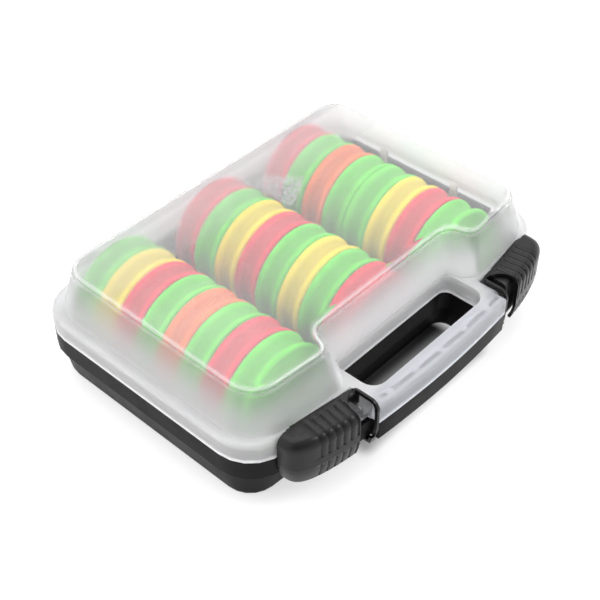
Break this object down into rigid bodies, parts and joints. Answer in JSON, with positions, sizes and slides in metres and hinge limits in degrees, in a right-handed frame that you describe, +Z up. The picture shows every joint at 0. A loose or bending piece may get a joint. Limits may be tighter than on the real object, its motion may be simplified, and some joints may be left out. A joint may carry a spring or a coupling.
{
  "type": "rig winder box",
  "caption": "Shallow black case with a frosted hinged lid, a cut-out carry handle and swing latches, filled with rows of round foam rig winders.",
  "frame": {"origin": "on the surface the box stands on, at the middle of its outline", "axes": "+X towards the right when the handle faces the viewer, +Y towards the hinge, -Y towards the handle, +Z up"},
  "size_m": [0.26, 0.207, 0.075],
  "materials": {
    "black_pp": "black polypropylene, satin",
    "frosted_pp": "translucent frosted polypropylene",
    "steel": "plain steel wire",
    "foam_green": "matt closed-cell foam",
    "foam_yellow": "matt closed-cell foam",
    "foam_pink": "matt closed-cell foam",
    "foam_orange": "matt closed-cell foam",
    "clear_film": "clear film bag with metal pins in it"
  },
  "bodies": {
    "base": {"base_tray": "black_pp", "hinge_pin_left": "steel", "hinge_pin_right": "steel", "winder_left_1": "foam_green", "winder_left_2": "foam_yellow", "winder_left_3": "foam_pink", "winder_left_4": "foam_green", "winder_left_5": "foam_orange", "winder_left_6": "foam_green", "winder_left_7": "foam_pink", "winder_left_8": "foam_green", "winder_middle_1": "foam_pink", "winder_middle_2": "foam_green", "winder_middle_3": "foam_yellow", "winder_middle_4": "foam_pink", "winder_middle_5": "foam_green", "winder_middle_6": "foam_yellow", "winder_middle_7": "foam_green", "winder_middle_8": "foam_pink", "winder_right_1": "foam_pink", "winder_right_2": "foam_green", "winder_right_3": "foam_orange", "winder_right_4": "foam_green", "winder_right_5": "foam_green", "winder_right_6": "foam_yellow", "winder_right_7": "foam_pink", "winder_right_8": "foam_green", "pin_bag": "clear_film"},
    "lid": {"lid_cover": "frosted_pp"},
    "left_latch": {"left_latch": "black_pp"},
    "right_latch": {"right_latch": "black_pp"}
  },
  "joints": [
    {"name": "lid_hinge", "type": "hinge", "parent": "base", "child": "lid", "pos_m": [0, 0.10065, 0.034], "axis": [-1, 0, 0], "range_deg": [0, 120]},
    {"name": "left_latch_swing", "type": "hinge", "parent": "lid", "child": "left_latch", "pos_m": [-0.08589, -0.08032, 0.0479], "axis": [-0.9909, 0.1349, 0], "range_deg": [0, 90]},
    {"name": "right_latch_swing", "type": "hinge", "parent": "lid", "child": "right_latch", "pos_m": [0.08589, -0.08032, 0.0479], "axis": [-0.9909, -0.1349, 0], "range_deg": [0, 90]}
  ]
}
